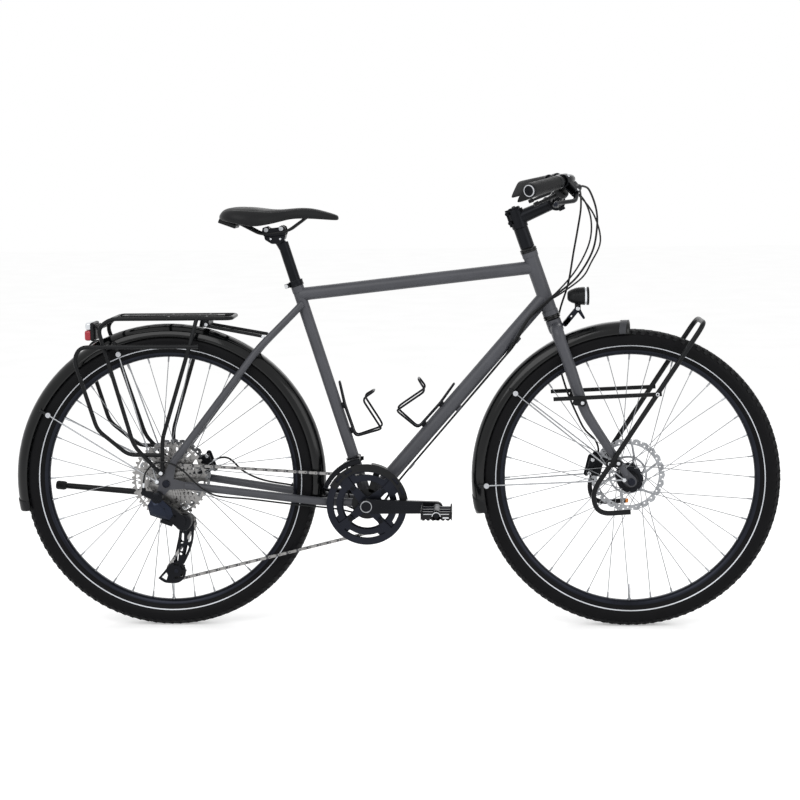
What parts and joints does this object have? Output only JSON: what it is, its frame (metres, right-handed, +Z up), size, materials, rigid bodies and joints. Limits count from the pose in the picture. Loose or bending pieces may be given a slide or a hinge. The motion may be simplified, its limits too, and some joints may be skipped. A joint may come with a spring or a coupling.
{
  "type": "touring bicycle",
  "caption": "Touring bicycle with rear and low front racks, mudguards, lights, disc brakes, derailleur gears, a raised bar and a kickstand.",
  "frame": {"origin": "on the ground below the middle of the bicycle's overall length, in its centre plane", "axes": "+X forward, +Y to the rider's left, +Z up"},
  "size_m": [1.857, 0.6582, 1.0964],
  "materials": {
    "frame_paint": "matt dark grey",
    "black_metal": "satin black anodised or powder-coated",
    "dark_alloy": "dark grey satin",
    "bright_steel": "bright",
    "chain_steel": "lightly oiled",
    "tyre": "matt, with a reflective side stripe",
    "black_plastic": "gloss black",
    "matte_black_plastic": "matt black",
    "black_rubber": "matt black",
    "cover": "matt black synthetic cover",
    "red_lens": "red lens in a black housing"
  },
  "bodies": {
    "frame": {"frame": "frame_paint", "headset": "black_metal", "seat_clamp": "black_metal", "bottom_bracket": "black_metal", "rear_axle": "black_metal", "rear_mudguard": "black_plastic", "rear_mudguard_stays": "bright_steel", "rear_rack": "black_metal", "rear_light": "red_lens", "front_derailleur": "dark_alloy", "chain_guard": "black_plastic", "chain": "chain_steel", "derailleur_body": "black_metal", "seat_tube_bottle_cage": "black_metal", "down_tube_bottle_cage": "black_metal", "rear_caliper": "black_metal", "rear_brake_hose": "black_rubber", "rear_shift_cable": "black_rubber", "front_shift_cable": "black_rubber", "kickstand_mount": "black_metal"},
    "seat": {"seatpost": "black_metal", "saddle_rails": "black_metal", "saddle": "cover"},
    "fork": {"fork": "frame_paint", "spacer_column": "black_metal", "stem": "black_metal", "handlebar": "black_metal", "grip_right": "black_rubber", "grip_left": "black_rubber", "headlight_bracket": "black_metal", "front_axle": "black_metal", "front_mudguard": "black_plastic", "front_mudguard_stays": "bright_steel", "lowrider_rack": "black_metal", "front_caliper": "black_metal", "front_brake_hose": "black_rubber", "control_mount_right": "black_metal", "control_mount_left": "black_metal"},
    "headlight": {"headlight": "black_metal"},
    "front_wheel": {"front_tyre": "tyre", "front_rim": "black_metal", "front_hub": "bright_steel", "front_rotor": "bright_steel"},
    "rear_wheel": {"rear_tyre": "tyre", "rear_rim": "black_metal", "rear_hub": "bright_steel"},
    "cassette": {"cassette": "bright_steel"},
    "crank": {"crank_right": "dark_alloy", "crank_left": "dark_alloy", "chainrings": "dark_alloy"},
    "pedal_right": {"pedal_right": "matte_black_plastic"},
    "pedal_left": {"pedal_left": "matte_black_plastic"},
    "derailleur_cage": {"derailleur_cage": "black_metal"},
    "guide_pulley": {"guide_pulley": "matte_black_plastic"},
    "tension_pulley": {"tension_pulley": "matte_black_plastic"},
    "kickstand_leg": {"kickstand_leg": "black_metal"},
    "brake_lever_right": {"brake_lever_right": "black_metal"},
    "brake_lever_left": {"brake_lever_left": "black_metal"},
    "shift_lever_right": {"shift_lever_right": "bright_steel"},
    "shift_lever_left": {"shift_lever_left": "bright_steel"}
  },
  "joints": [
    {"name": "steering", "type": "hinge", "parent": "frame", "child": "fork", "pos_m": [0.38091, 0, 0.757], "axis": [-0.3256, 0, 0.9455], "range_deg": [-60, 60], "deforming": ["rear_brake_hose", "rear_shift_cable", "front_shift_cable"]},
    {"name": "seatpost_height", "type": "slide", "parent": "frame", "child": "seat", "axis": [-0.3007, 0, 0.9537], "range_m": [-0.07, 0.12]},
    {"name": "headlight_tilt", "type": "hinge", "parent": "fork", "child": "headlight", "pos_m": [0.4445, 0, 0.772], "axis": [0, 1, 0], "range_deg": [-15, 15]},
    {"name": "front_wheel_spin", "type": "hinge", "parent": "fork", "child": "front_wheel", "pos_m": [0.5675, 0, 0.361], "axis": [0, 1, 0], "continuous": true},
    {"name": "rear_wheel_spin", "type": "hinge", "parent": "frame", "child": "rear_wheel", "pos_m": [-0.5475, 0, 0.361], "axis": [0, 1, 0], "continuous": true},
    {"name": "crank_spin", "type": "hinge", "parent": "frame", "child": "crank", "pos_m": [-0.0655, 0, 0.305], "axis": [0, 1, 0], "continuous": true},
    {"name": "cassette_spin", "type": "hinge", "parent": "frame", "child": "cassette", "pos_m": [-0.5475, 0, 0.361], "axis": [0, 1, 0], "continuous": true},
    {"name": "pedal_right_spin", "type": "hinge", "parent": "crank", "child": "pedal_right", "pos_m": [0.1045, -0.14, 0.305], "axis": [0, 1, 0], "continuous": true},
    {"name": "pedal_left_spin", "type": "hinge", "parent": "crank", "child": "pedal_left", "pos_m": [-0.2355, 0.14, 0.305], "axis": [0, 1, 0], "continuous": true},
    {"name": "derailleur_cage_swing", "type": "hinge", "parent": "frame", "child": "derailleur_cage", "pos_m": [-0.5085, -0.05, 0.267], "axis": [0, -1, 0], "range_deg": [-10, 30], "stiffness_Nm_per_rad": 3, "deforming": ["chain"]},
    {"name": "guide_pulley_spin", "type": "hinge", "parent": "derailleur_cage", "child": "guide_pulley", "pos_m": [-0.5055, -0.0435, 0.258], "axis": [0, 1, 0], "continuous": true},
    {"name": "tension_pulley_spin", "type": "hinge", "parent": "derailleur_cage", "child": "tension_pulley", "pos_m": [-0.5315, -0.0435, 0.142], "axis": [0, 1, 0], "continuous": true},
    {"name": "kickstand_fold", "type": "hinge", "parent": "frame", "child": "kickstand_leg", "pos_m": [-0.5395, 0.09194, 0.297], "axis": [0.2263, -0.9427, -0.2451], "range_deg": [0, 98]},
    {"name": "brake_lever_right_pull", "type": "hinge", "parent": "fork", "child": "brake_lever_right", "pos_m": [0.42976, -0.20235, 1.05168], "axis": [-0.5617, 0.4861, -0.6695], "range_deg": [0, 14], "stiffness_Nm_per_rad": 2},
    {"name": "shift_lever_right_push", "type": "hinge", "parent": "fork", "child": "shift_lever_right", "pos_m": [0.39641, -0.17352, 1.05578], "axis": [0.5617, -0.4861, 0.6695], "range_deg": [0, 25], "stiffness_Nm_per_rad": 0.5},
    {"name": "brake_lever_left_pull", "type": "hinge", "parent": "fork", "child": "brake_lever_left", "pos_m": [0.42976, 0.20235, 1.05168], "axis": [0.5617, 0.4861, 0.6695], "range_deg": [0, 14], "stiffness_Nm_per_rad": 2},
    {"name": "shift_lever_left_push", "type": "hinge", "parent": "fork", "child": "shift_lever_left", "pos_m": [0.39641, 0.17352, 1.05578], "axis": [-0.5617, -0.4861, -0.6695], "range_deg": [0, 25], "stiffness_Nm_per_rad": 0.5}
  ],
  "couplings": [
    {"joint": "cassette_spin", "follows": "crank_spin", "ratio": 1.619},
    {"joint": "guide_pulley_spin", "follows": "crank_spin", "ratio": -3.0909},
    {"joint": "tension_pulley_spin", "follows": "crank_spin", "ratio": 3.0909}
  ]
}
